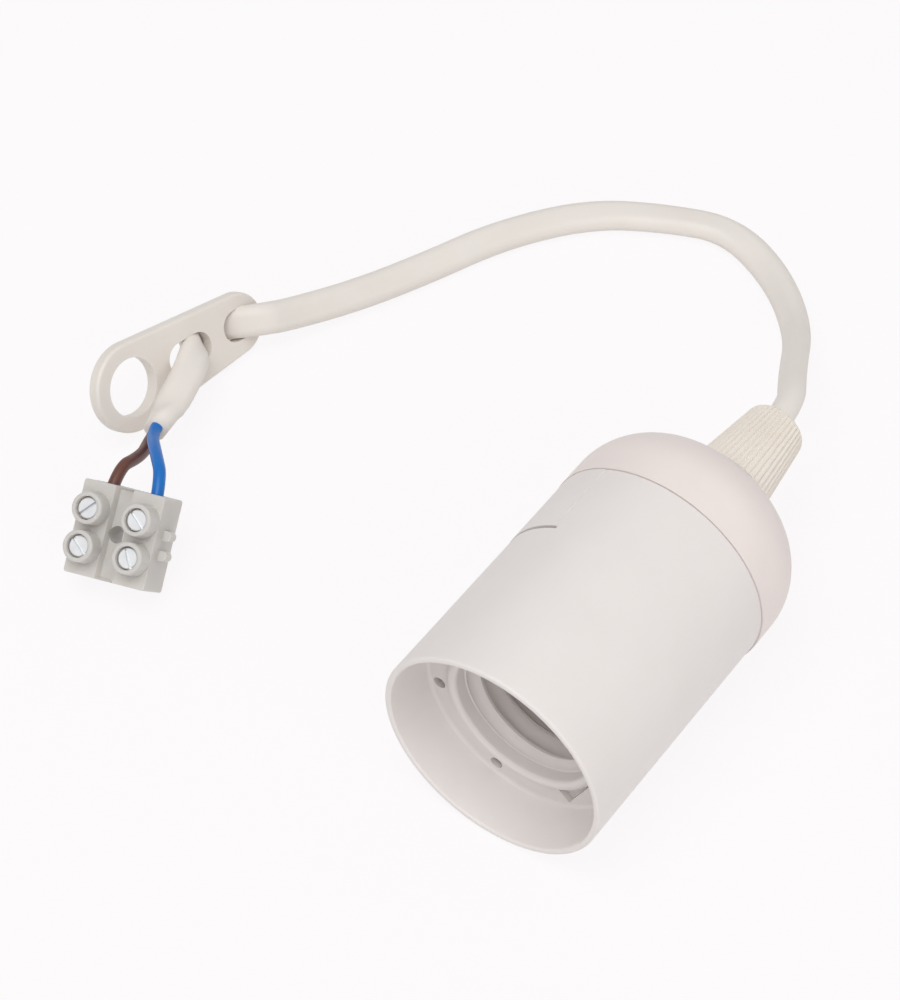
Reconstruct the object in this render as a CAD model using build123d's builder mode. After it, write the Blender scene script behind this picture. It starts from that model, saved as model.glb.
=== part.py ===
from build123d import *
import math
import os

os.makedirs("parts", exist_ok=True)

# E27 lamp holder with a short lead, a hanging plate and a two pole terminal block.
# Millimetres, +Z up. The holder lies on its side with its axis along +Y, the mouth toward -Y.
# The origin is on the surface below the middle of the holder.
# A depth is measured from the mouth along the axis, an angle from +X toward +Z round the axis.

# Holder shell
shell_room = 8.15
seam_step = 0.3
rim_flare = 0.2
rim_wall = 1.2
skirt_length = 49.9
skirt_wall = 1.6
rim_rounding = 0.45
ledge_depth = 10.0
ledge_inset = 0.7
ledge_thickness = 1.8
ledge_rounding = 0.8
seam_gap = 0.12
turning_clearance = 0.3

# Lamp thread, round profile
thread_major_radius = 13.55
thread_height = 1.4
thread_pitch = 3.62
groove_radius = 1.56
entry_clearance = 0.1
entry_length = 2.0
entry_lip_width = 1.95
entry_lip_height = 0.9
entry_lip_rounding = 0.85
sleeve_wall = 1.7
sleeve_length = 23.0

# Marks moulded in the ledge
vent_radius = 1.2
vent_inset = 2.0
vent_angles = (-169.0, -108.0)
notch_foot_angles = (-63.3, -31.3)
notch_foot_inset = 0.3
notch_point_angle = -60.0
notch_point_inset = 0.7
notch_depth = 1.2

# Release pad and its slot
pad_angle = 140.0
pad_spread = 38.0
pad_start = 34.6
pad_rise = 0.15
slot_width = 0.6
slot_spread = 41.0

# Dome
dome_straight = 5.4
shoulder_radius = 12.9
shoulder_turn = 56.0
dome_wall = 1.9
neck_radius = 8.9
neck_depth = 71.4
collar_wall = 1.6
collar_length = 7.0
lead_hole_radius = 3.2

# Spigot, collet and grip nut
spigot_radius = 5.6
spigot_wall = 1.4
spigot_length = 7.2
spigot_floor = 1.6
collet_clearance = 0.15
collet_head_radius = 4.9
collet_head_length = 2.6
collet_grip_clearance = 0.1
collet_nose_wall = 0.6
collet_slits = 4
collet_slit_width = 0.7
nut_length = 17.9
nut_gap = 0.1
nut_base_radius = 7.7
nut_tip_radius = 5.6
nut_tip_rounding = 1.5
nut_collar_length = 0.9
nut_thread_clearance = 0.2
nut_exit_radius = 3.1
nut_flutes = 40
flute_depth = 0.38
flute_width = 0.86

# Contact base
base_side_clearance = 0.6
base_thickness = 8.8
flange_inset = 0.6
flange_thickness = 1.4
pole_offset = 8.5
seat_clearance = 0.05
well_radius = 6.0
well_depth = 1.2
base_chamfer = 0.5
guide_clearance = 0.1
guide_length = 2.2
guide_wall = 1.3
boss_wall = 1.2
boss_height = 0.6
boss_corner = 1.0

# Contacts, rivets and terminals
strip_thickness = 0.5
strip_width = 5.0
centre_rise = 3.0
centre_overlap = 2.6
side_reach = 11.6
side_rise = 5.0
side_lean = 0.6
strip_bend = 0.6
rivet_radius = 1.2
rivet_head_radius = 2.1
rivet_head_height = 0.5
rivet_bite = 1.5
terminal_size = 6.6
terminal_length = 8.0
terminal_pocket = 3.0
terminal_chamfer = 0.4
screw_setback = 6.1
wire_hole_radius = 1.35
core_entry = 5.0
base_screw_radius = 1.45
base_screw_head_radius = 2.2
base_screw_head_height = 1.6
base_screw_length = 2.6
base_slot_turn = 35.0
screw_slot_width = 0.5
screw_slot_depth = 0.7
screw_edge = 0.2
running_clearance = 0.05

# Lead
sheath_radius = 2.6
core_radius = 1.15
sheath_start_depth = 70.0
core_split = 1.25
bend_share = 0.45
core_spread_depth = 64.0
core_gather_depth = 54.5
lead_turn_depth = 96.6
free_points = (
    (-7.9, 63.3, 14.3),
    (-15.4, 79.8, 6.4),
    (-28.3, 93.6, 2.8),
    (-42.4, 98.9, 2.6),
    (-54.4, 93.5, 2.7),
    (-67.3, 85.9, 2.6),
    (-78.1, 71.1, 2.7),
    (-84.8, 55.0, 2.6),
    (-90.9, 41.2, 3.5),
)
weave_points = (
    (36.6, -1.6, 5.4),
    (30.3, 0.2, 5.0),
    (25.0, 0, -5.2),
    (19.3, 0.1, -5.4),
    (13.6, 0.2, 5.6),
    (-3.5, -5.9, 9.1),
)
core_leave = 2.2
core_stack = (0.32, 0, 0.95)
blue_middle = (-90.6, -19.8, 15.0)
brown_middle = (-94.6, -19.3, 10.8)

# Hanging plate
plate_thickness = 2.65
eye_ring_radius = 8.6
eye_radius = 5.6
tail_radius = 6.0
plate_length = 27.5
plate_rounding = 0.6
first_hole_start = 23.6
first_hole_length = 7.6
first_hole_width = 6.2
second_hole_start = 9.4
second_hole_length = 10.6
second_hole_width = 6.2
lead_clearance = 0.15
plate_origin = (-106.23, -7.01, 10.79)
plate_along = (0.128, 0.979, -0.159)
plate_facing = (0.899, -0.047, 0.436)

# Terminal block
pole_pitch = 9.8
pole_width = 6.2
pole_draft = 20.0
block_length = 17.0
block_height = 7.8
block_rounding = 0.5
channel_depth = 1.3
back_channel_depth = 1.4
tower_height = 3.4
tower_foot_radius = 3.1
tower_draft = 3.5
tower_bore_radius = 2.15
tower_spacing = 6.9
tower_rounding = 0.4
fixing_hole_radius = 1.55
nib_length = 1.6
nib_width = 1.9
nib_spacing = 3.6
nib_level = 3.9
nib_height = 2.4
wire_level = 4.0
tube_radius = 2.3
tube_bore_radius = 1.6
tube_length = 13.4
wire_entry_radius = 2.05
wired_entry_radius = 1.6
block_screw_radius = 1.45
block_screw_head_radius = 1.95
block_screw_head_height = 1.3
block_screw_recess = 0.7
block_origin = (-86.33, -37.35, 12.15)
block_across = (0.970, 0.210, 0.120)
block_facing = (0.050, -0.640, 0.770)
block_slot_turns = (46.0, -42.0, -42.0, -61.0)
core_stop = -1.5
core_turn_in = 11.0

# Places that follow from the sizes
thread_minor_radius = thread_major_radius - thread_height
entry_radius = thread_major_radius + entry_clearance
entry_lip_radius = entry_radius + entry_lip_width
lip_radius = thread_major_radius + shell_room
axis_height = lip_radius
seam_radius = lip_radius - seam_step
rim_radius = seam_radius + rim_flare
ledge_radius = rim_radius - rim_wall - ledge_inset
vent_pitch_radius = ledge_radius - vent_inset
pad_radius = seam_radius + pad_rise
collar_radius = seam_radius - skirt_wall - turning_clearance
flange_radius = collar_radius - flange_inset
base_radius = collar_radius - collar_wall - base_side_clearance
spigot_end_depth = neck_depth + spigot_length
nut_depth = neck_depth + nut_gap
holder_length = nut_depth + nut_length
mouth_y = -holder_length / 2
holder_axis = Axis((0, mouth_y, axis_height), (0, 1, 0))
sleeve_radius = thread_major_radius + sleeve_wall
sleeve_end_depth = ledge_depth + sleeve_length
rear_bore_radius = seam_radius - skirt_wall
lip_face_depth = ledge_depth - entry_lip_height
entry_end_depth = lip_face_depth + entry_lip_rounding + entry_length
lip_depth = skirt_length + seam_gap
collar_depth = lip_depth - collar_length
base_end_depth = collar_depth
base_depth = base_end_depth - base_thickness
terminal_depth = base_end_depth - terminal_pocket
terminal_end_depth = terminal_depth + terminal_length
spigot_bore_radius = spigot_radius - spigot_wall
guide_radius = collar_radius - collar_wall - guide_clearance
pocket_size = terminal_size + 2 * seat_clearance
boss_size = pocket_size + 2 * boss_wall
collet_radius = spigot_bore_radius - collet_clearance
collet_depth = neck_depth + spigot_floor + collet_clearance
nut_bore_radius = spigot_radius + nut_thread_clearance

# Axial section: local x is the radius, local y the depth
section_plane = Plane(origin=(0, mouth_y, axis_height), x_dir=(1, 0, 0), z_dir=(0, 0, 1))


def station(depth):
    """Plane across the axis at a depth, facing the mouth, with +X and +Z as its directions."""
    return Plane(origin=(0, mouth_y + depth, axis_height), x_dir=(1, 0, 0), z_dir=(0, -1, 0))


def ring_sector(inner, outer, middle, spread):
    """Face between two radii, centred on an angle."""
    start = middle - spread / 2
    with BuildSketch() as sector:
        with BuildLine():
            rim = CenterArc((0, 0), outer, start, spread)
            root = CenterArc((0, 0), inner, start, spread)
            Line(rim @ 0, root @ 0)
            Line(rim @ 1, root @ 1)
        make_face()
    return sector.sketch


def finish(name, piece):
    """Label a finished piece and write it."""
    piece.part.label = name
    export_step(piece.part, f"parts/{name}.step")


# Skirt: outer wall, ledge and threaded sleeve in one moulding
pad_face = ring_sector(seam_radius - skirt_wall / 2, pad_radius, pad_angle, pad_spread)
slot_face = ring_sector(rear_bore_radius - 1, lip_radius + 1, pad_angle, slot_spread)

with BuildPart() as skirt:
    with BuildSketch(section_plane) as skirt_section:
        with BuildLine():
            Polyline(
                (rim_radius, 0),
                (seam_radius, skirt_length),
                (rear_bore_radius, skirt_length),
                (rear_bore_radius, ledge_depth + ledge_thickness),
                (sleeve_radius, ledge_depth + ledge_thickness),
                (sleeve_radius, sleeve_end_depth),
                (thread_minor_radius, sleeve_end_depth),
                (thread_minor_radius, entry_end_depth + thread_major_radius - thread_minor_radius),
                (entry_radius, entry_end_depth),
                (entry_radius, lip_face_depth),
                (entry_lip_radius, lip_face_depth),
                (entry_lip_radius, ledge_depth),
                (ledge_radius, ledge_depth),
                (rim_radius - rim_wall, 0),
                close=True,
            )
        make_face()
        rim_corners = skirt_section.vertices().group_by(Axis.Y)[0]
        fillet(rim_corners, radius=rim_rounding)
        lip_corners = [
            skirt_section.vertices().sort_by_distance((radius, lip_face_depth, 0))[0]
            for radius in (entry_radius, entry_lip_radius)
        ]
        fillet(lip_corners, radius=entry_lip_rounding)
        ledge_corner = skirt_section.vertices().sort_by_distance((ledge_radius, ledge_depth, 0))[0]
        fillet(ledge_corner, radius=ledge_rounding)
    revolve(axis=holder_axis)

    # Round lamp thread, cut along a helix from the entry to just before the end of the sleeve
    thread_start = entry_end_depth - thread_pitch / 2
    thread_run = sleeve_end_depth - groove_radius - thread_start
    groove_path_radius = thread_major_radius - groove_radius
    with BuildLine() as thread_line:
        Helix(
            pitch=thread_pitch,
            height=thread_run,
            radius=groove_path_radius,
            center=(0, mouth_y + thread_start, axis_height),
            direction=(0, 1, 0),
        )
    helix_start = thread_line.line @ 0
    outward = helix_start - Vector(0, helix_start.Y, axis_height)
    groove_plane = Plane(origin=helix_start, x_dir=outward, z_dir=thread_line.line % 0)
    with BuildSketch(groove_plane):
        Circle(groove_radius)
    sweep(path=thread_line.line, is_frenet=True, mode=Mode.SUBTRACT)

    # Release pad and the screwdriver slot at its end
    with BuildSketch(station(pad_start)) as pad_outline:
        add(pad_face)
    extrude(amount=-(skirt_length - pad_start))
    with BuildSketch(station(pad_start - slot_width)) as slot_outline:
        add(slot_face)
    extrude(amount=-slot_width, mode=Mode.SUBTRACT)

    # Vents and the notch in the ledge
    with BuildSketch(station(ledge_depth - 1)) as vents:
        for angle in vent_angles:
            with Locations(
                (
                    vent_pitch_radius * math.cos(math.radians(angle)),
                    vent_pitch_radius * math.sin(math.radians(angle)),
                )
            ):
                Circle(vent_radius)
    extrude(amount=-(ledge_thickness + 2), mode=Mode.SUBTRACT)
    with BuildSketch(station(ledge_depth)) as notch:
        with BuildLine():
            notch_foot = entry_lip_radius + notch_foot_inset
            corners = [
                (
                    radius * math.cos(math.radians(angle)),
                    radius * math.sin(math.radians(angle)),
                )
                for radius, angle in (
                    (notch_foot, notch_foot_angles[0]),
                    (notch_foot, notch_foot_angles[1]),
                    (ledge_radius - notch_point_inset, notch_point_angle),
                )
            ]
            Polyline(*corners, close=True)
        make_face()
    extrude(amount=-notch_depth, mode=Mode.SUBTRACT)
finish("skirt", skirt)

# Dome cap: shoulder, inner collar and threaded spigot in one moulding
turn = math.radians(shoulder_turn)
shoulder_depth = lip_depth + dome_straight
shoulder_end = (
    lip_radius - shoulder_radius * (1 - math.cos(turn)),
    shoulder_depth + shoulder_radius * math.sin(turn),
)
half_turn = turn / 2
shoulder_middle = (
    lip_radius - shoulder_radius * (1 - math.cos(half_turn)),
    shoulder_depth + shoulder_radius * math.sin(half_turn),
)
inner_shoulder = shoulder_radius - dome_wall
inner_end = (
    lip_radius - dome_wall - inner_shoulder * (1 - math.cos(turn)),
    shoulder_depth + inner_shoulder * math.sin(turn),
)
inner_middle = (
    lip_radius - dome_wall - inner_shoulder * (1 - math.cos(half_turn)),
    shoulder_depth + inner_shoulder * math.sin(half_turn),
)
neck_floor = neck_depth - dome_wall

with BuildPart() as dome_cap:
    with BuildSketch(section_plane) as dome_section:
        with BuildLine():
            Line((lip_radius, lip_depth), (lip_radius, shoulder_depth))
            ThreePointArc((lip_radius, shoulder_depth), shoulder_middle, shoulder_end)
            Polyline(
                shoulder_end,
                (neck_radius, neck_depth),
                (spigot_radius, neck_depth),
                (spigot_radius, spigot_end_depth),
                (spigot_bore_radius, spigot_end_depth),
                (spigot_bore_radius, neck_depth + spigot_floor),
                (lead_hole_radius, neck_depth + spigot_floor),
                (lead_hole_radius, neck_floor),
                (neck_radius, neck_floor),
                inner_end,
            )
            ThreePointArc(
                inner_end, inner_middle, (lip_radius - dome_wall, shoulder_depth)
            )
            Polyline(
                (lip_radius - dome_wall, shoulder_depth),
                (lip_radius - dome_wall, lip_depth + collar_wall),
                (collar_radius - collar_wall, lip_depth + collar_wall),
                (collar_radius - collar_wall, collar_depth),
                (collar_radius, collar_depth),
                (collar_radius, lip_depth),
                (lip_radius, lip_depth),
            )
        make_face()
    revolve(axis=holder_axis)
finish("dome_cap", dome_cap)

# Collet: a ring with slits that closes on the lead under the nut
head_depth = spigot_end_depth + collet_clearance
collet_bore = sheath_radius + collet_grip_clearance
collet_nose_radius = collet_bore + collet_nose_wall
with BuildPart() as grip_collet:
    with BuildSketch(section_plane) as collet_section:
        with BuildLine():
            Polyline(
                (collet_bore, collet_depth),
                (collet_radius, collet_depth),
                (collet_radius, head_depth),
                (collet_head_radius, head_depth),
                (collet_nose_radius, head_depth + collet_head_length),
                (collet_bore, head_depth + collet_head_length),
                close=True,
            )
        make_face()
    revolve(axis=holder_axis)
    with BuildSketch(station(head_depth + collet_head_length)) as slits:
        with PolarLocations(collet_head_radius, collet_slits):
            Rectangle(2 * collet_head_radius - 2, collet_slit_width)
    extrude(amount=collet_head_length + collet_radius, mode=Mode.SUBTRACT)
finish("grip_collet", grip_collet)

# Grip nut: a fluted cone with a plain collar and a rounded tip
nut_end_depth = nut_depth + nut_length
cone_depth = head_depth + collet_clearance
cone_end_radius = collet_nose_radius + collet_clearance
side_run = nut_length - nut_collar_length
side_fall = nut_base_radius - nut_tip_radius
flute_tilt = math.atan(side_fall / side_run)
flute_plane = Plane(
    origin=(nut_base_radius, 0, 0),
    x_dir=(math.cos(flute_tilt), 0, -math.sin(flute_tilt)),
    z_dir=(-math.sin(flute_tilt), 0, -math.cos(flute_tilt)),
)
with BuildPart() as flute:
    with BuildSketch(flute_plane):
        with BuildLine():
            Polyline(
                (-flute_depth, 0),
                (flute_depth, flute_width),
                (flute_depth, -flute_width),
                close=True,
            )
        make_face()
    extrude(amount=math.hypot(side_run, side_fall))

with BuildPart() as grip_nut:
    with BuildSketch(section_plane) as nut_section:
        with BuildLine():
            Polyline(
                (nut_bore_radius, nut_depth),
                (nut_base_radius, nut_depth),
                (nut_base_radius, nut_depth + nut_collar_length),
                (nut_tip_radius, nut_end_depth),
                (nut_exit_radius, nut_end_depth),
                (nut_exit_radius, cone_depth + collet_head_length + 1),
                (cone_end_radius, cone_depth + collet_head_length),
                (collet_head_radius + collet_clearance, cone_depth),
                (nut_bore_radius, cone_depth),
                close=True,
            )
        make_face()
        tip = nut_section.vertices().group_by(Axis.Y)[-1].sort_by(Axis.X)[-1]
        fillet(tip, radius=nut_tip_rounding)
    revolve(axis=holder_axis)

    # Vee flutes follow the cone from the collar and run out in the rounded tip
    with Locations(station(nut_depth + nut_collar_length)):
        with PolarLocations(0, nut_flutes):
            add(flute.part, mode=Mode.SUBTRACT)
finish("grip_nut", grip_nut)

# Contact base: a disc with a flange that seats on the collar of the dome
with BuildPart() as contact_base:
    with BuildSketch(section_plane) as base_section:
        with BuildLine():
            Polyline(
                (0, base_depth + well_depth),
                (well_radius, base_depth + well_depth),
                (well_radius, base_depth),
                (base_radius, base_depth),
                (base_radius, base_end_depth - flange_thickness),
                (flange_radius, base_end_depth - flange_thickness),
                (flange_radius, base_end_depth),
                (guide_radius, base_end_depth),
                (guide_radius, base_end_depth + guide_length),
                (guide_radius - guide_wall, base_end_depth + guide_length),
                (guide_radius - guide_wall, base_end_depth),
                (0, base_end_depth),
                close=True,
            )
        make_face()
    revolve(axis=holder_axis)
    with BuildSketch(station(base_end_depth)) as bosses:
        with GridLocations(2 * pole_offset, 0, 2, 1):
            RectangleRounded(boss_size, boss_size, boss_corner)
    extrude(amount=-boss_height)
    with BuildSketch(station(base_end_depth + boss_height)) as pockets:
        with GridLocations(2 * pole_offset, 0, 2, 1):
            Rectangle(pocket_size, pocket_size)
    extrude(amount=boss_height + terminal_pocket, mode=Mode.SUBTRACT)
    with BuildSketch(station(base_depth)) as rivet_holes:
        with GridLocations(2 * pole_offset, 0, 2, 1):
            Circle(rivet_radius + seat_clearance)
    extrude(amount=-base_thickness, mode=Mode.SUBTRACT)
    rim = contact_base.edges().filter_by(GeomType.CIRCLE).group_by(Axis.Y)[0]
    chamfer(rim.sort_by(SortBy.RADIUS)[-1], length=base_chamfer)
finish("contact_base", contact_base)

# Contact strips, bent from flat stock and riveted to the front of the base
centre_level = base_depth - centre_rise
centre_path = (
    (pole_offset + strip_width / 2, base_depth),
    (pole_offset - strip_width / 2 - 0.8, base_depth),
    (centre_overlap, centre_level),
    (-centre_overlap, centre_level),
    (-centre_overlap - 1, centre_level + 1),
)
side_path = (
    (-pole_offset + strip_width / 2, base_depth),
    (-side_reach, base_depth),
    (-side_reach + side_lean, base_depth - side_rise),
    (-side_reach + side_lean + 1.1, base_depth - side_rise - 0.6),
)
contacts = (
    ("centre_contact", centre_path, pole_offset),
    ("side_contact", side_path, -pole_offset),
)
for name, path, offset_x in contacts:
    with BuildPart() as contact:
        with BuildSketch(section_plane) as strip_section:
            with BuildLine():
                FilletPolyline(*path, radius=strip_bend)
                offset(amount=strip_thickness, side=Side.LEFT)
            make_face()
        extrude(amount=strip_width / 2, both=True)
        with BuildSketch(station(base_depth + 1)) as strip_hole:
            with Locations((offset_x, 0)):
                Circle(rivet_radius + seat_clearance)
        extrude(amount=strip_thickness + 2, mode=Mode.SUBTRACT)
    finish(name, contact)

# Rivets through the strips and the base into the terminals
rivet_places = (("centre_rivet", pole_offset), ("side_rivet", -pole_offset))
for name, offset_x in rivet_places:
    with BuildPart() as rivet:
        with BuildSketch(station(base_depth - strip_thickness)) as rivet_head:
            with Locations((offset_x, 0)):
                Circle(rivet_head_radius)
        extrude(amount=rivet_head_height)
        top = rivet.edges().filter_by(GeomType.CIRCLE).group_by(Axis.Y)[0]
        fillet(top, radius=0.6 * rivet_head_height)
        with BuildSketch(station(base_depth - strip_thickness)) as rivet_shank:
            with Locations((offset_x, 0)):
                Circle(rivet_radius)
        extrude(amount=-(terminal_depth + rivet_bite - base_depth + strip_thickness))
    finish(name, rivet)

# Terminals behind the base, with the wire hole along the axis and the screw hole across it
screw_depth = terminal_depth + screw_setback
terminal_places = (("centre_terminal", pole_offset), ("side_terminal", -pole_offset))
for name, offset_x in terminal_places:
    with BuildPart() as terminal:
        with BuildSketch(station(terminal_depth)) as terminal_section:
            with Locations((offset_x, 0)):
                Rectangle(terminal_size, terminal_size)
        extrude(amount=-terminal_length)
        chamfer(terminal.edges().filter_by(Axis.Y), length=terminal_chamfer)
        with BuildSketch(station(terminal_depth)) as rivet_seat:
            with Locations((offset_x, 0)):
                Circle(rivet_radius + seat_clearance)
        extrude(amount=-(rivet_bite + seat_clearance), mode=Mode.SUBTRACT)
        with BuildSketch(station(terminal_end_depth)) as wire_hole:
            with Locations((offset_x, 0)):
                Circle(wire_hole_radius)
        extrude(amount=core_entry, mode=Mode.SUBTRACT)
        with BuildSketch(
            Plane(origin=(0, mouth_y + screw_depth, axis_height + terminal_size / 2))
        ) as screw_hole:
            with Locations((offset_x, 0)):
                Circle(base_screw_radius + running_clearance)
        extrude(amount=-terminal_size / 2, mode=Mode.SUBTRACT)
    finish(name, terminal)


def slotted_screw(shank_radius, shank_length, head_radius, head_height, slot_turn):
    """Screw along Z with its tip at the origin and a slot at an angle to X."""
    top = shank_length + head_height
    with BuildPart() as screw:
        Cylinder(
            shank_radius,
            shank_length,
            align=(Align.CENTER, Align.CENTER, Align.MIN),
        )
        with Locations((0, 0, shank_length)):
            Cylinder(
                head_radius,
                head_height,
                align=(Align.CENTER, Align.CENTER, Align.MIN),
            )
        chamfer(screw.edges().group_by(Axis.Z)[-1], length=screw_edge)
        chamfer(screw.edges().group_by(Axis.Z)[0], length=2 * screw_edge)
        with Locations((0, 0, top)):
            Box(
                2 * head_radius,
                screw_slot_width,
                2 * screw_slot_depth,
                rotation=(0, 0, slot_turn),
                mode=Mode.SUBTRACT,
            )
    return screw.part


# Terminal screws of the base, across the axis along +Z
base_screw = slotted_screw(
    base_screw_radius,
    base_screw_length,
    base_screw_head_radius,
    base_screw_head_height,
    base_slot_turn,
)
screw_tip_height = axis_height + core_radius + running_clearance
for name, offset_x in (("base_screw_centre", pole_offset), ("base_screw_side", -pole_offset)):
    with BuildPart() as placed_screw:
        with Locations((offset_x, mouth_y + screw_depth, screw_tip_height)):
            add(base_screw)
    finish(name, placed_screw)


def bend_radii(points):
    """Arc radius at each inner point, from the shorter run beside it and the turn."""
    radii = []
    for before, corner, after in zip(points, points[1:], points[2:]):
        run_in = Vector(*corner) - Vector(*before)
        run_out = Vector(*after) - Vector(*corner)
        half_angle = math.radians(run_in.get_angle(run_out)) / 2
        shorter = min(run_in.length, run_out.length)
        radii.append(bend_share * shorter / math.tan(half_angle))
    return radii


def round_lead(points, radius):
    """Round bar along straight runs joined by tangent arcs."""
    with BuildPart() as bar:
        with BuildLine() as route:
            FilletPolyline(*points, radius=bend_radii(points))
        with BuildSketch(Plane(origin=route.line @ 0, z_dir=route.line % 0)):
            Circle(radius)
        sweep()
    return bar


# Hanging plate on its long edge, with the eye and the two holes the lead is woven through
plate_plane = Plane(origin=plate_origin, x_dir=plate_along, z_dir=plate_facing)
sheath_start = (0, mouth_y + sheath_start_depth, axis_height)
lead_turn = (0, mouth_y + lead_turn_depth, axis_height)
weave = [
    tuple(plate_plane.from_local_coords((x, y, z - plate_thickness / 2)))
    for x, y, z in weave_points
]
sheath_route = [sheath_start, lead_turn, *free_points, *weave]
cord_sheath = round_lead(sheath_route, sheath_radius)
print("sheath arcs", [round(radius, 1) for radius in bend_radii(sheath_route)])
finish("cord_sheath", cord_sheath)

lead_path = round_lead(weave, sheath_radius + lead_clearance)
with BuildPart() as hook_plate:
    with BuildSketch(plate_plane) as plate_outline:
        Circle(eye_ring_radius)
        with Locations((plate_length, 0)):
            Circle(tail_radius)
        make_hull()
    extrude(amount=-plate_thickness)
    faces = hook_plate.faces().filter_by(GeomType.PLANE).sort_by(SortBy.AREA)[-2:]
    fillet(faces.edges(), radius=plate_rounding)
    with BuildSketch(plate_plane) as plate_holes:
        Circle(eye_radius)
        with Locations((first_hole_start + first_hole_length / 2, 0)):
            SlotOverall(first_hole_length, first_hole_width)
        with Locations((second_hole_start + second_hole_length / 2, 0)):
            SlotOverall(second_hole_length, second_hole_width)
    extrude(amount=-plate_thickness, mode=Mode.SUBTRACT)
    add(lead_path.part, mode=Mode.SUBTRACT)
finish("hook_plate", hook_plate)

# Terminal block: local x across the poles, local y up the wires, local z out of its front
block_plane = Plane(origin=block_origin, x_dir=block_across, z_dir=block_facing)
pole_grid = GridLocations(pole_pitch, tower_spacing, 2, 2)
with BuildPart() as terminal_block:
    with BuildSketch(block_plane) as block_outline:
        Rectangle(pole_pitch + pole_width, block_length)
    extrude(amount=-block_height)
    long_edges = terminal_block.edges().filter_by(Axis(block_plane.origin, block_plane.z_dir))
    fillet(long_edges, radius=block_rounding)
    with BuildSketch(block_plane.offset(-nib_level)) as nibs:
        with Locations(((pole_pitch + pole_width) / 2, 0)):
            with GridLocations(0, nib_spacing, 1, 2):
                SlotOverall(2 * nib_length, nib_width)
    extrude(amount=nib_height / 2, both=True)
    with BuildSketch(block_plane) as front_channel:
        Rectangle(pole_pitch - pole_width, block_length)
    extrude(amount=-channel_depth, taper=pole_draft, mode=Mode.SUBTRACT)
    with BuildSketch(block_plane.offset(-block_height)) as back_channel:
        Rectangle(pole_pitch - pole_width, block_length)
    extrude(amount=back_channel_depth, mode=Mode.SUBTRACT)
    with BuildSketch(block_plane) as tower_feet:
        with GridLocations(pole_pitch, tower_spacing, 2, 2):
            Circle(tower_foot_radius)
    extrude(amount=tower_height, taper=tower_draft)
    tower_rims = terminal_block.faces().group_by(
        Axis(block_plane.origin, block_plane.z_dir)
    )[-1]
    fillet(tower_rims.edges(), radius=tower_rounding)
    with BuildSketch(block_plane.offset(tower_height)) as tower_bores:
        with GridLocations(pole_pitch, tower_spacing, 2, 2):
            Circle(tower_bore_radius)
    extrude(amount=-(tower_height + wire_level), mode=Mode.SUBTRACT)
    tube_centre_plane = Plane(
        origin=block_plane.from_local_coords((0, 0, -wire_level)),
        x_dir=block_plane.x_dir,
        z_dir=block_plane.y_dir,
    )
    with BuildSketch(tube_centre_plane) as tube_seats:
        with GridLocations(pole_pitch, 0, 2, 1):
            Circle(tube_radius + seat_clearance)
    extrude(amount=tube_length / 2 + seat_clearance, both=True, mode=Mode.SUBTRACT)
    with BuildSketch(tube_centre_plane) as wire_entries:
        with GridLocations(pole_pitch, 0, 2, 1):
            Circle(wire_entry_radius)
    extrude(amount=-block_length / 2, mode=Mode.SUBTRACT)
    with BuildSketch(tube_centre_plane) as wired_entries:
        with GridLocations(pole_pitch, 0, 2, 1):
            Circle(wired_entry_radius)
    extrude(amount=block_length / 2, mode=Mode.SUBTRACT)
    with BuildSketch(block_plane) as fixing_hole:
        Circle(fixing_hole_radius)
    extrude(amount=-block_height, mode=Mode.SUBTRACT)
finish("terminal_block", terminal_block)

# Brass tubes inside the block, each with two threaded holes
for name, offset_x in (("terminal_tube_blue", pole_pitch / 2), ("terminal_tube_brown", -pole_pitch / 2)):
    with BuildPart() as tube:
        with BuildSketch(tube_centre_plane) as tube_section:
            with Locations((offset_x, 0)):
                Circle(tube_radius)
                Circle(tube_bore_radius, mode=Mode.SUBTRACT)
        extrude(amount=tube_length / 2, both=True)
        with BuildSketch(block_plane) as tube_holes:
            with Locations((offset_x, 0)):
                with GridLocations(0, tower_spacing, 1, 2):
                    Circle(block_screw_radius + running_clearance)
        extrude(amount=-wire_level, mode=Mode.SUBTRACT)
    finish(name, tube)

# Screws of the block, sunk in the towers
shank_top = tower_height - block_screw_recess - block_screw_head_height
shank_tip = core_radius + running_clearance - wire_level
screw_names = ("block_screw_1", "block_screw_2", "block_screw_3", "block_screw_4")
screw_spots = (
    (-pole_pitch / 2, tower_spacing / 2),
    (pole_pitch / 2, tower_spacing / 2),
    (-pole_pitch / 2, -tower_spacing / 2),
    (pole_pitch / 2, -tower_spacing / 2),
)
for name, spot, slot_turn in zip(screw_names, screw_spots, block_slot_turns):
    block_screw = slotted_screw(
        block_screw_radius,
        shank_top - shank_tip,
        block_screw_head_radius,
        block_screw_head_height,
        slot_turn,
    )
    with BuildPart() as placed_screw:
        with Locations(block_plane.offset(shank_tip)):
            with Locations(spot):
                add(block_screw)
    finish(name, placed_screw)

# Cores between the sheath and the block
sheath_end = Vector(*weave[-1])
sheath_end_direction = sheath_end - Vector(*weave[-2])
end_plane = Plane(
    origin=sheath_end,
    x_dir=core_stack,
    z_dir=sheath_end_direction,
)
outer_cores = (
    ("core_blue", core_split, blue_middle, pole_pitch / 2),
    ("core_brown", -core_split, brown_middle, -pole_pitch / 2),
)
for name, start_x, middle, entry_x in outer_cores:
    core_route = [
        tuple(end_plane.from_local_coords((start_x, 0, 0))),
        tuple(end_plane.from_local_coords((start_x, 0, core_leave))),
        middle,
        tuple(block_plane.from_local_coords((entry_x, core_turn_in, -wire_level))),
        tuple(block_plane.from_local_coords((entry_x, core_stop, -wire_level))),
    ]
    outer_core = round_lead(core_route, core_radius)
    print(name, "arcs", [round(radius, 1) for radius in bend_radii(core_route)])
    finish(name, outer_core)

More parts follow.
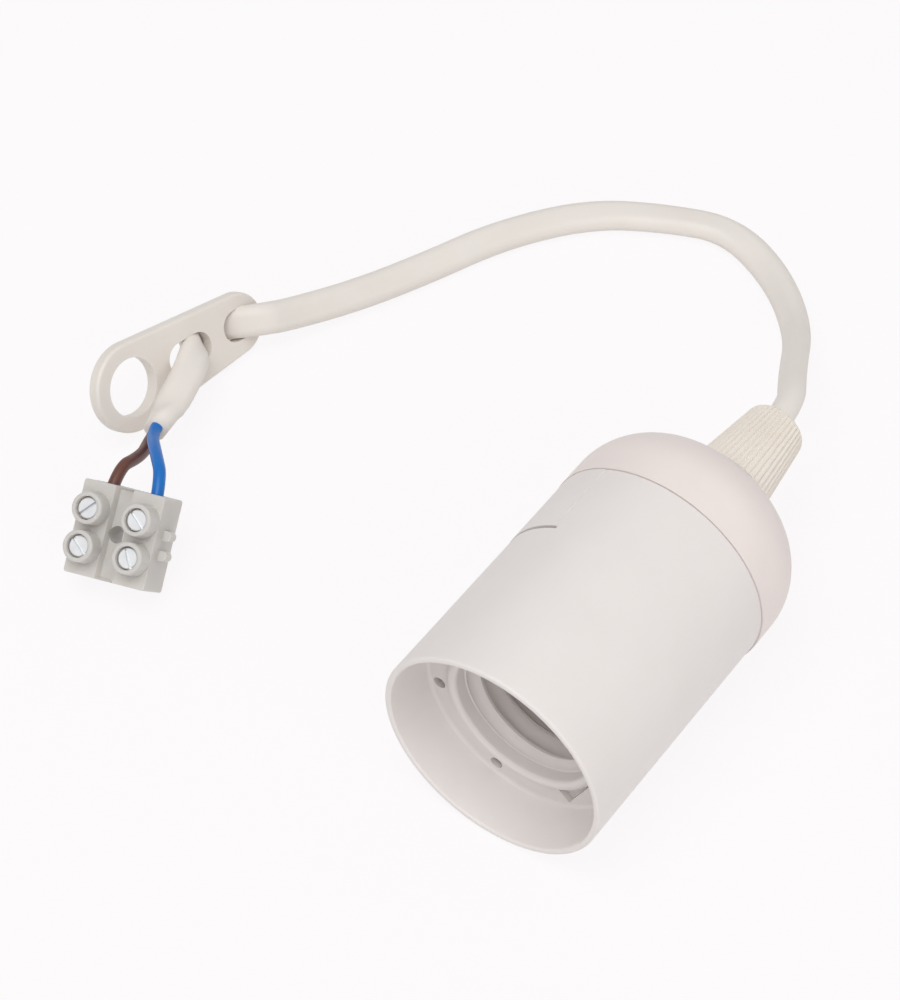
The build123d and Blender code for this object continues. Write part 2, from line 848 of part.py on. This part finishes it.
# Cores inside the dome
core_end_depth = terminal_end_depth - core_entry
inner_cores = (("inner_core_brown", 1), ("inner_core_blue", -1))
for name, hand in inner_cores:
    core_route = [
        (hand * core_split, mouth_y + sheath_start_depth, axis_height),
        (hand * core_split, mouth_y + core_spread_depth, axis_height),
        (hand * pole_offset, mouth_y + core_gather_depth, axis_height),
        (hand * pole_offset, mouth_y + core_end_depth, axis_height),
    ]
    inner_core = round_lead(core_route, core_radius)
    print(name, "arcs", [round(radius, 1) for radius in bend_radii(core_route)])
    finish(name, inner_core)
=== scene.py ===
"""Looks of a lamp holder that lies on its side, with its lead, hanging plate and terminal block."""

import logging
import math
from dataclasses import dataclass
from enum import Enum
from typing import Any, Sequence

import bmesh
import bpy
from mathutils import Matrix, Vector

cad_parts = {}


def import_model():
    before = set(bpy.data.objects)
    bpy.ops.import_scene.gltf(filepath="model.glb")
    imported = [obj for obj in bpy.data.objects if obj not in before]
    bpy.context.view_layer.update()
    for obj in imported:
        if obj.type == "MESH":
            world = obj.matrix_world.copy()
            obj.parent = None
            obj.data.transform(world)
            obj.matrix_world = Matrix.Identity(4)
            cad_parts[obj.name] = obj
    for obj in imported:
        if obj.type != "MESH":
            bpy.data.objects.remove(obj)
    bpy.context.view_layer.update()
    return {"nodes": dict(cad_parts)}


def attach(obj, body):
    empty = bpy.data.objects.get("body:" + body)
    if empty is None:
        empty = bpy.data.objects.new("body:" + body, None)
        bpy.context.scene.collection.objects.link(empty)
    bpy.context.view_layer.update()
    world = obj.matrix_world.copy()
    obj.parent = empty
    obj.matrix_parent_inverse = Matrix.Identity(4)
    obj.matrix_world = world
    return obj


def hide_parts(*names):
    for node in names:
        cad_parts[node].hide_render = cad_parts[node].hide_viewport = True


log = logging.getLogger("lamp_holder")

MM = 0.001

# sRGB transfer curve
SRGB_KNEE = 0.04045
SRGB_SLOPE = 12.92
SRGB_OFFSET = 0.055
SRGB_GAMMA = 2.4

# Sockets of the colour mix node, which have no names of their own
MIX_SHARE = 0
MIX_COLOUR_A = 6
MIX_COLOUR_B = 7
MIX_COLOUR_OUT = 2

# Smoothness of the leads
ROUTE_STEPS = 12
ROUTE_ORDER = 3
CORE_BEVEL_STEPS = 6


class Lay(Enum):
    LOOSE = "loose"


def linear(code: str) -> tuple[float, float, float, float]:
    """Turn an sRGB hex code into a linear colour.

    Args:
        code: six hex digits.

    Returns:
        Linear red, green, blue and an alpha of 1.
    """
    channels = [int(code[i : i + 2], 16) / 255 for i in (0, 2, 4)]
    red, green, blue = (
        c / SRGB_SLOPE
        if c <= SRGB_KNEE
        else ((c + SRGB_OFFSET) / (1 + SRGB_OFFSET)) ** SRGB_GAMMA
        for c in channels
    )
    return (red, green, blue, 1.0)


def add_node(
    tree: bpy.types.NodeTree,
    kind: str,
    settings: dict[str | int, Any] | None = None,
    links: dict[str | int, bpy.types.NodeSocket] | None = None,
    **attributes: Any,
) -> bpy.types.Node:
    """Add a shader node with its socket values, links and attributes.

    Args:
        tree: node tree that takes the node.
        kind: identifier of the node type.
        settings: socket name or index to the value set on it.
        links: socket name or index to the output that feeds it.
        attributes: properties of the node itself.

    Returns:
        The new node.
    """
    node = tree.nodes.new(kind)
    for name, value in attributes.items():
        setattr(node, name, value)
    for key, value in (settings or {}).items():
        node.inputs[key].default_value = value
    for key, output in (links or {}).items():
        tree.links.new(output, node.inputs[key])
    return node


def add_noise(
    tree: bpy.types.NodeTree,
    place: bpy.types.NodeSocket,
    size_mm: float,
    detail: float,
    roughness: float,
) -> bpy.types.NodeSocket:
    """Add a noise of a given size.

    Args:
        tree: node tree that takes the node.
        place: coordinates that the noise is read at.
        size_mm: size of its largest lumps.
        detail: number of finer layers.
        roughness: weight of the finer layers.

    Returns:
        The noise's value.
    """
    scale = 1.0 / (size_mm * MM)
    settings = {"Scale": scale, "Detail": detail, "Roughness": roughness}
    return add_node(tree, "ShaderNodeTexNoise", settings, {"Vector": place}).outputs["Fac"]


def add_tint(
    tree: bpy.types.NodeTree, dark: str, light: str, share: bpy.types.NodeSocket
) -> bpy.types.NodeSocket:
    """Add a mix of two colours.

    Args:
        tree: node tree that takes the node.
        dark: hex code of the colour at a share of 0.
        light: hex code of the colour at a share of 1.
        share: value that mixes them.

    Returns:
        The mixed colour.
    """
    node = add_node(
        tree,
        "ShaderNodeMix",
        {MIX_COLOUR_A: linear(dark), MIX_COLOUR_B: linear(light)},
        {MIX_SHARE: share},
        data_type="RGBA",
    )
    return node.outputs[MIX_COLOUR_OUT]


def add_range(
    tree: bpy.types.NodeTree, value: bpy.types.NodeSocket, low: float, high: float
) -> bpy.types.NodeSocket:
    """Spread a value from 0 to 1 over another range.

    Args:
        tree: node tree that takes the node.
        value: value to spread.
        low: result at 0.
        high: result at 1.

    Returns:
        The spread value.
    """
    settings = {"To Min": low, "To Max": high}
    return add_node(tree, "ShaderNodeMapRange", settings, {"Value": value}).outputs["Result"]


def add_bump(
    tree: bpy.types.NodeTree,
    height: bpy.types.NodeSocket,
    height_mm: float,
    normal: bpy.types.NodeSocket | None = None,
) -> bpy.types.NodeSocket:
    """Add a bump of a given height.

    Args:
        tree: node tree that takes the node.
        height: pattern of the bump.
        height_mm: height of the pattern from 0 to 1.
        normal: normal of a bump that this one lies on.

    Returns:
        The bumped normal.
    """
    links = {"Height": height}
    if normal is not None:
        links["Normal"] = normal
    settings = {"Strength": 1.0, "Distance": height_mm * MM}
    return add_node(tree, "ShaderNodeBump", settings, links).outputs["Normal"]


def new_material(name: str) -> tuple[bpy.types.Material, bpy.types.NodeTree]:
    """Make an empty node material.

    Args:
        name: name of the material.

    Returns:
        The material and its node tree.
    """
    material = bpy.data.materials.new(name)
    material.use_nodes = True
    material.node_tree.nodes.clear()
    return material, material.node_tree


@dataclass(frozen=True)
class Moulded:
    """Injection moulded plastic: two close tones, a fine eroded grain and slow flow marks.

    The layers of a noise are its detail and its roughness.
    """

    name: str
    light: str
    dark: str
    roughness: float
    ior: float = 1.49
    tone_mm: float = 14.0
    tone_layers: tuple[float, float] = (3.0, 0.55)
    grain_mm: float = 0.6
    grain_layers: tuple[float, float] = (2.0, 0.6)
    grain_height_mm: float = 0.012
    flow_mm: float = 26.0
    flow_layers: tuple[float, float] = (1.0, 0.4)
    flow_height_mm: float = 0.05
    smoother: float = 0.05
    rougher: float = 0.07
    subsurface: float = 0.08
    subsurface_mm: float = 0.8
    subsurface_reach: tuple[float, float, float] = (1.0, 0.9, 0.8)
    transmission: float = 0.0

    def build(self) -> bpy.types.Material:
        """Make the material.

        Returns:
            The material with its nodes.
        """
        material, tree = new_material(self.name)
        place = add_node(tree, "ShaderNodeTexCoord").outputs["Object"]
        tone = add_noise(tree, place, self.tone_mm, *self.tone_layers)
        grain = add_noise(tree, place, self.grain_mm, *self.grain_layers)
        flow = add_noise(tree, place, self.flow_mm, *self.flow_layers)
        tint = add_tint(tree, self.dark, self.light, tone)
        gloss = add_range(
            tree, grain, self.roughness - self.smoother, self.roughness + self.rougher
        )
        slow = add_bump(tree, flow, self.flow_height_mm)
        fine = add_bump(tree, grain, self.grain_height_mm, slow)
        shader = add_node(
            tree,
            "ShaderNodeBsdfPrincipled",
            {
                "IOR": self.ior,
                "Subsurface Weight": self.subsurface,
                "Subsurface Radius": self.subsurface_reach,
                "Subsurface Scale": self.subsurface_mm * MM,
                "Transmission Weight": self.transmission,
            },
            {"Base Color": tint, "Roughness": gloss, "Normal": fine},
        )
        add_node(tree, "ShaderNodeOutputMaterial", None, {"Surface": shader.outputs[0]})
        return material


@dataclass(frozen=True)
class Metal:
    """Plated or rolled metal with fine streaks and a little tarnish.

    The layers of a noise are its detail and its roughness.
    """

    name: str
    light: str
    dark: str
    roughness: float
    streak_mm: float = 0.35
    streak_layers: tuple[float, float] = (2.0, 0.5)
    streak_stretch: float = 6.0
    streak_height_mm: float = 0.004
    tarnish_mm: float = 2.2
    tarnish_layers: tuple[float, float] = (3.0, 0.5)
    smoother: float = 0.06
    rougher: float = 0.1

    def build(self) -> bpy.types.Material:
        """Make the material.

        Returns:
            The material with its nodes.
        """
        material, tree = new_material(self.name)
        place = add_node(tree, "ShaderNodeTexCoord").outputs["Object"]
        stretched = add_node(
            tree,
            "ShaderNodeMapping",
            {"Scale": (1.0, 1.0 / self.streak_stretch, 1.0)},
            {"Vector": place},
        )
        streak = add_noise(
            tree, stretched.outputs["Vector"], self.streak_mm, *self.streak_layers
        )
        tarnish = add_noise(tree, place, self.tarnish_mm, *self.tarnish_layers)
        tint = add_tint(tree, self.dark, self.light, tarnish)
        gloss = add_range(
            tree, streak, self.roughness - self.smoother, self.roughness + self.rougher
        )
        bump = add_bump(tree, streak, self.streak_height_mm)
        shader = add_node(
            tree,
            "ShaderNodeBsdfPrincipled",
            {"Metallic": 1.0},
            {"Base Color": tint, "Roughness": gloss, "Normal": bump},
        )
        add_node(tree, "ShaderNodeOutputMaterial", None, {"Surface": shader.outputs[0]})
        return material


# Thermoplastic mouldings: off white, semi gloss, hardly any grain
SKIRT = Moulded("skirt_thermoplastic", "E8E3E0", "E1DCD9", 0.42)
DOME = Moulded("dome_thermoplastic", "EDE4E0", "E5DBD6", 0.42)
NUT = Moulded("nut_polyamide", "EEE8DF", "E6DED3", 0.45, flow_height_mm=0.02)
BASE = Moulded("contact_base_moulding", "E2DEDA", "D8D3CE", 0.55)
# Soft PVC sheath: matt with a slow ripple over the cores
SHEATH = Moulded(
    "soft_pvc_sheath", "EBE6E0", "E2DCD4", 0.5, grain_mm=0.9, flow_mm=9.0, subsurface=0.15
)
# Polypropylene plate: waxy
PLATE = Moulded("polypropylene_plate", "E9E4DD", "DFD9D1", 0.4, subsurface=0.2, subsurface_mm=1.5)
# Natural polyethylene block: milky, lets light through its thin walls
BLOCK = Moulded(
    "natural_polyethylene",
    "E4E1DC",
    "D8D4CE",
    0.38,
    subsurface=0.55,
    subsurface_mm=2.5,
    transmission=0.22,
)
BLUE = Moulded("blue_pvc_insulation", "0074C8", "0062B4", 0.35, grain_height_mm=0.006)
BROWN = Moulded("brown_pvc_insulation", "704839", "5C3830", 0.38, grain_height_mm=0.006)
BRASS = Metal("rolled_brass", "D2AE63", "B48F48", 0.3)
ZINC = Metal("zinc_plated_steel", "FAFBFC", "E2E5E8", 0.5)

DRESS: dict[str, Moulded | Metal] = {
    "skirt": SKIRT,
    "dome_cap": DOME,
    "grip_nut": NUT,
    "grip_collet": NUT,
    "contact_base": BASE,
    "centre_contact": BRASS,
    "side_contact": BRASS,
    "centre_rivet": BRASS,
    "side_rivet": BRASS,
    "centre_terminal": BRASS,
    "side_terminal": BRASS,
    "base_screw_centre": ZINC,
    "base_screw_side": ZINC,
    "inner_core_brown": BROWN,
    "inner_core_blue": BLUE,
    "cord_sheath": SHEATH,
    "hook_plate": PLATE,
    "core_blue": BLUE,
    "core_brown": BROWN,
    "terminal_block": BLOCK,
    "terminal_tube_blue": BRASS,
    "terminal_tube_brown": BRASS,
    "block_screw_1": ZINC,
    "block_screw_2": ZINC,
    "block_screw_3": ZINC,
    "block_screw_4": ZINC,
}


class Palette:
    """Builds each finish once and hands out its material."""

    def __init__(self) -> None:
        """Start with no material built."""
        self.built: dict[str, bpy.types.Material] = {}

    def get(self, finish: Moulded | Metal) -> bpy.types.Material:
        """Material of a finish, built at its first use.

        Args:
            finish: the finish.

        Returns:
            Its material.
        """
        if finish.name not in self.built:
            self.built[finish.name] = finish.build()
        return self.built[finish.name]

    def dress(self, piece: bpy.types.Object, finish: Moulded | Metal) -> None:
        """Put a finish on every material slot of a piece.

        Args:
            piece: the piece.
            finish: its finish.
        """
        material = self.get(finish)
        if not piece.data.materials:
            piece.data.materials.append(material)
        for slot in piece.material_slots:
            slot.material = material


def link(name: str, data: bpy.types.ID) -> bpy.types.Object:
    """Make an object at the origin and put it in the scene.

    Args:
        name: name of the object.
        data: its mesh, curve, camera or lamp.

    Returns:
        The object.
    """
    piece = bpy.data.objects.new(name, data)
    bpy.context.scene.collection.objects.link(piece)
    return piece


def route_curve(name: str, points: Sequence[Sequence[float]]) -> bpy.types.Curve:
    """Smooth route of a lead.

    Args:
        name: name of the curve.
        points: control points in millimetres.

    Returns:
        A curve with one open spline in metres.
    """
    curve = bpy.data.curves.new(name, "CURVE")
    curve.dimensions = "3D"
    curve.resolution_u = ROUTE_STEPS
    spline = curve.splines.new("NURBS")
    spline.points.add(len(points) - 1)
    for control, point in zip(spline.points, points):
        control.co = (*(Vector(point) * MM), 1.0)
    spline.order_u = ROUTE_ORDER
    spline.use_endpoint_u = True
    return curve


def route_points(curve: bpy.types.Curve) -> list[Vector]:
    """Points along a route's spline.

    Args:
        curve: the route.

    Returns:
        The points in order, in metres.
    """
    carrier = bpy.data.objects.new("route", curve)
    mesh = bpy.data.meshes.new_from_object(carrier)
    points = [vertex.co.copy() for vertex in mesh.vertices]
    bpy.data.objects.remove(carrier)
    bpy.data.meshes.remove(mesh)
    return points


def run_lengths(points: Sequence[Vector]) -> list[float]:
    """Lengths of the straight runs between points.

    Args:
        points: the points in order.

    Returns:
        One length for each pair of neighbours.
    """
    return [(b - a).length for a, b in zip(points, points[1:])]


# Control points of the lead's middle in millimetres, from inside the grip nut to its bare end
SHEATH_ROUTE = (
    (0.0, 24.9, 21.7),
    (0.0, 49.4, 21.7),
    (-7.2, 62.0, 15.4),
    (-15.6, 79.3, 6.4),
    (-28.2, 92.2, 2.7),
    (-42.3, 98.1, 2.4),
    (-54.4, 93.5, 2.4),
    (-67.3, 85.9, 2.4),
    (-78.1, 71.1, 2.5),
    (-84.8, 55.0, 2.6),
    (-90.9, 41.2, 3.3),
    (-97.2, 28.3, 5.3),
    (-99.1, 22.5, 7.8),
    (-108.9, 17.8, 4.0),
    (-109.8, 12.2, 4.9),
    (-100.7, 6.1, 10.7),
    (-97.2, -12.0, 9.5),
)

# Direction of the flat lead's wide side at shares of its length
WIDE_SIDES = (
    (0.00, (-0.44, 0.0, -0.90)),
    (0.20, (-0.44, -0.2, -0.87)),
    (0.30, (-0.30, -0.65, -0.70)),
    (0.42, (0.0, -1.0, 0.0)),
    (0.55, (0.45, -0.80, -0.25)),
    (0.70, (0.66, -0.45, -0.60)),
    (0.80, (0.50, -0.30, -0.80)),
    (0.89, (0.42, -0.20, -0.89)),
    (0.94, (0.91, 0.36, -0.20)),
    (0.96, (0.91, 0.36, -0.20)),
    (1.00, (0.50, -0.40, 0.75)),
)


@dataclass(frozen=True)
class Sheath:
    """The flat oval sheath, squeezed round where the collet grips it.

    Sizes are in millimetres. The sheath is round up to squeeze_end_y and oval from oval_start_y
    on, both within holder_share of its length.
    """

    width: float = 6.2
    thickness: float = 4.0
    round_radius: float = 2.6
    squeeze_end_y: float = 41.0
    oval_start_y: float = 66.0
    holder_share: float = 0.3
    sides: int = 40

    def wide_side(self, share: float) -> Vector:
        """Direction of the wide side, eased between the listed ones.

        Args:
            share: share of the length.

        Returns:
            The direction.
        """
        for (s0, a), (s1, b) in zip(WIDE_SIDES, WIDE_SIDES[1:]):
            if share <= s1:
                t = (share - s0) / (s1 - s0)
                t = t * t * (3 - 2 * t)
                return Vector(a).lerp(Vector(b), t)
        return Vector(WIDE_SIDES[-1][1])

    def grip(self, y: float, share: float) -> float:
        """How round the sheath is squeezed at a point.

        Args:
            y: place along the holder's axis, in millimetres.
            share: share of the length.

        Returns:
            1 where it is round, 0 where it is oval.
        """
        if share >= self.holder_share:
            return 0.0
        grip = (self.oval_start_y - y) / (self.oval_start_y - self.squeeze_end_y)
        return min(max(grip, 0.0), 1.0)

    def ring(self, centre: Vector, tangent: Vector, share: float) -> list[Vector]:
        """Outline of the section at a point of the route.

        Args:
            centre: the point, in metres.
            tangent: direction of the lead there.
            share: share of the length.

        Returns:
            Points of the outline, in order.
        """
        wide = self.wide_side(share)
        wide = (wide - wide.dot(tangent) * tangent).normalized()
        flat = tangent.cross(wide)
        grip = self.grip(centre.y / MM, share)
        radius = self.round_radius * grip + self.thickness / 2 * (1 - grip)
        straight = (self.width - self.thickness) / 2 * (1 - grip)
        outline = []
        for k in range(self.sides):
            angle = 2 * math.pi * (k + 0.5) / self.sides
            across = radius * math.cos(angle)
            across += straight if math.cos(angle) > 0 else -straight
            outline.append(centre + (wide * across + flat * radius * math.sin(angle)) * MM)
        return outline

    def skin(self, points: Sequence[Vector]) -> bpy.types.Mesh:
        """Make the closed skin round a route, ring by ring.

        Args:
            points: the route, in metres.

        Returns:
            The mesh.
        """
        runs = run_lengths(points)
        total = sum(runs)
        bm = bmesh.new()
        first = bmesh.ops.create_circle(bm, cap_ends=False, segments=self.sides, radius=1.0)
        loop = list(first["verts"])
        done = 0.0
        for index, point in enumerate(points):
            before = points[max(index - 1, 0)]
            after = points[min(index + 1, len(points) - 1)]
            tangent = (after - before).normalized()
            if index:
                edges = {e for v in loop for e in v.link_edges if e.is_boundary or e.is_wire}
                edges = [e for e in edges if e.verts[0] in loop and e.verts[1] in loop]
                grown = bmesh.ops.extrude_edge_only(bm, edges=edges)["geom"]
                fresh = {
                    v: next(e.other_vert(v) for e in v.link_edges if e.other_vert(v) in loop)
                    for v in grown
                    if isinstance(v, bmesh.types.BMVert)
                }
                pairs = {old: new for new, old in fresh.items()}
                loop = [pairs[v] for v in loop]
            for vertex, place in zip(loop, self.ring(point, tangent, done / total)):
                vertex.co = place
            if index < len(runs):
                done += runs[index]
        bmesh.ops.holes_fill(bm, edges=bm.edges[:], sides=self.sides)
        bmesh.ops.recalc_face_normals(bm, faces=bm.faces[:])
        mesh = bpy.data.meshes.new("sheath")
        bm.to_mesh(mesh)
        bm.free()
        mesh.shade_smooth()
        return mesh

    def build(self, palette: Palette) -> bpy.types.Object:
        """Make the sheath along its route.

        Args:
            palette: source of the materials.

        Returns:
            The sheath.
        """
        points = route_points(route_curve("sheath_route", SHEATH_ROUTE))
        piece = link("sheath", self.skin(points))
        palette.dress(piece, SHEATH)
        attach(piece, "holder")
        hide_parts("cord_sheath")
        return piece


@dataclass(frozen=True)
class Core:
    """One insulated core between the sheath and the terminal block, in millimetres."""

    node: str
    slot: str
    finish: Moulded
    route: tuple[tuple[float, float, float], ...]
    diameter: float = 2.3

    def build(self, palette: Palette) -> bpy.types.Object:
        """Make the core as a round curve.

        Args:
            palette: source of the materials.

        Returns:
            The core.
        """
        curve = route_curve(f"{self.node}_wire", self.route)
        points = route_points(curve)
        curve.bevel_depth = self.diameter / 2 * MM
        curve.bevel_resolution = CORE_BEVEL_STEPS
        curve.use_fill_caps = True
        piece = link(f"{self.node}_wire", curve)
        palette.dress(piece, self.finish)
        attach(piece, "holder")
        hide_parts(self.node)
        return piece


CORES = (
    Core(
        "core_blue",
        "blue_insulation",
        BLUE,
        (
            (-96.8, -12.0, 10.7),
            (-96.4, -14.1, 10.6),
            (-90.6, -19.8, 15.0),
            (-84.4, -25.6, 16.6),
            (-81.4, -34.9, 8.7),
        ),
    ),
    Core(
        "core_brown",
        "brown_insulation",
        BROWN,
        (
            (-97.6, -12.0, 8.3),
            (-97.2, -14.1, 8.2),
            (-94.6, -19.3, 10.8),
            (-93.9, -27.7, 15.4),
            (-90.4, -38.6, 6.1),
        ),
    ),
)


@dataclass(frozen=True)
class Lamp:
    """A square soft lamp, in metres and watts."""

    name: str
    place: tuple[float, float, float]
    size: float
    power: float


@dataclass(frozen=True)
class Studio:
    """White floor, soft light and the camera, in metres and degrees."""

    sensor_width: float = 36.0
    lens: float = 129.6
    elevation: float = 49.739
    azimuth: float = 35.381
    place: tuple[float, float, float] = (0.1982, -0.3352, 0.5028)
    clip: tuple[float, float] = (0.01, 20.0)
    lamps: tuple[Lamp, ...] = (
        Lamp("key", (-0.05, -0.35, 1.0), 0.65, 4.9),
        Lamp("fill", (0.8, -0.35, 0.5), 0.7, 2.1),
    )
    lamp_aim: tuple[float, float, float] = (-0.03, 0.02, 0.01)
    floor_size: float = 3.0
    floor_height: float = -0.0002
    paper: str = "F0EEEE"
    white: str = "FEFCFD"
    white_share: float = 0.9
    white_strength: float = 1.0
    light_strength: float = 0.55

    def camera(self) -> None:
        """Set the camera at the angle of the photograph."""
        data = bpy.data.cameras.new("camera")
        data.sensor_width = self.sensor_width
        data.lens = self.lens
        data.clip_start, data.clip_end = self.clip
        camera = link("camera", data)
        camera.location = self.place
        camera.rotation_euler = (
            math.radians(90 - self.elevation),
            0.0,
            math.radians(self.azimuth),
        )
        bpy.context.scene.camera = camera

    def light(self, lamp: Lamp) -> None:
        """Add a lamp that points at the object.

        Args:
            lamp: the lamp.
        """
        data = bpy.data.lights.new(lamp.name, "AREA")
        data.shape = "SQUARE"
        data.size = lamp.size
        data.energy = lamp.power
        piece = link(lamp.name, data)
        piece.location = lamp.place
        aim = Vector(self.lamp_aim) - Vector(lamp.place)
        piece.rotation_euler = aim.to_track_quat("-Z", "Y").to_euler()

    def floor_material(self) -> bpy.types.Material:
        """Make the floor's material: mostly plain white to the camera, paper to the light.

        Returns:
            The material.
        """
        material, tree = new_material("paper_floor")
        ray = add_node(tree, "ShaderNodeLightPath").outputs
        paper = add_node(tree, "ShaderNodeBsdfDiffuse", {"Color": linear(self.paper)})
        white = add_node(
            tree,
            "ShaderNodeEmission",
            {"Color": linear(self.white), "Strength": self.white_strength},
        )
        seen = ray["Is Camera Ray"]
        for kind in ("Is Glossy Ray", "Is Transmission Ray"):
            either = {0: seen, 1: ray[kind]}
            seen = add_node(tree, "ShaderNodeMath", None, either, operation="MAXIMUM").outputs[0]
        share = add_node(
            tree, "ShaderNodeMath", {1: self.white_share}, {0: seen}, operation="MULTIPLY"
        )
        mixed = add_node(
            tree,
            "ShaderNodeMixShader",
            None,
            {0: share.outputs[0], 1: paper.outputs[0], 2: white.outputs[0]},
        )
        add_node(tree, "ShaderNodeOutputMaterial", None, {"Surface": mixed.outputs[0]})
        return material

    def floor(self) -> None:
        """Add the floor, a hair below the object."""
        bm = bmesh.new()
        bmesh.ops.create_grid(bm, x_segments=1, y_segments=1, size=self.floor_size)
        mesh = bpy.data.meshes.new("floor")
        bm.to_mesh(mesh)
        bm.free()
        floor = link("floor", mesh)
        floor.data.materials.append(self.floor_material())
        floor.location = (0.0, 0.0, self.floor_height)

    def world(self) -> None:
        """Light from all round, and a white background where it is seen."""
        world = bpy.data.worlds.new("studio")
        bpy.context.scene.world = world
        world.use_nodes = True
        tree = world.node_tree
        tree.nodes.clear()
        ray = add_node(tree, "ShaderNodeLightPath").outputs["Is Camera Ray"]
        background = add_node(
            tree,
            "ShaderNodeBackground",
            {"Color": linear(self.white)},
            {"Strength": add_range(tree, ray, self.light_strength, self.white_strength)},
        )
        add_node(tree, "ShaderNodeOutputWorld", None, {"Surface": background.outputs[0]})

    def build(self) -> None:
        """Build the floor, the light and the colour view."""
        bpy.context.scene.view_settings.view_transform = "Standard"
        self.world()
        self.floor()
        for lamp in self.lamps:
            self.light(lamp)


def main() -> None:
    """Build the looks over the loaded frame."""
    logging.basicConfig(level=logging.INFO, format="%(name)s: %(message)s")
    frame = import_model()
    studio = Studio()
    studio.camera()
    palette = Palette()
    Sheath().build(palette)
    for core in CORES:
        core.build(palette)
    for name, finish in DRESS.items():
        palette.dress(frame["nodes"][name], finish)
        log.info("dressed %s with %s", name, finish.name)
    studio.build()


if __name__ == "__main__":
    main()
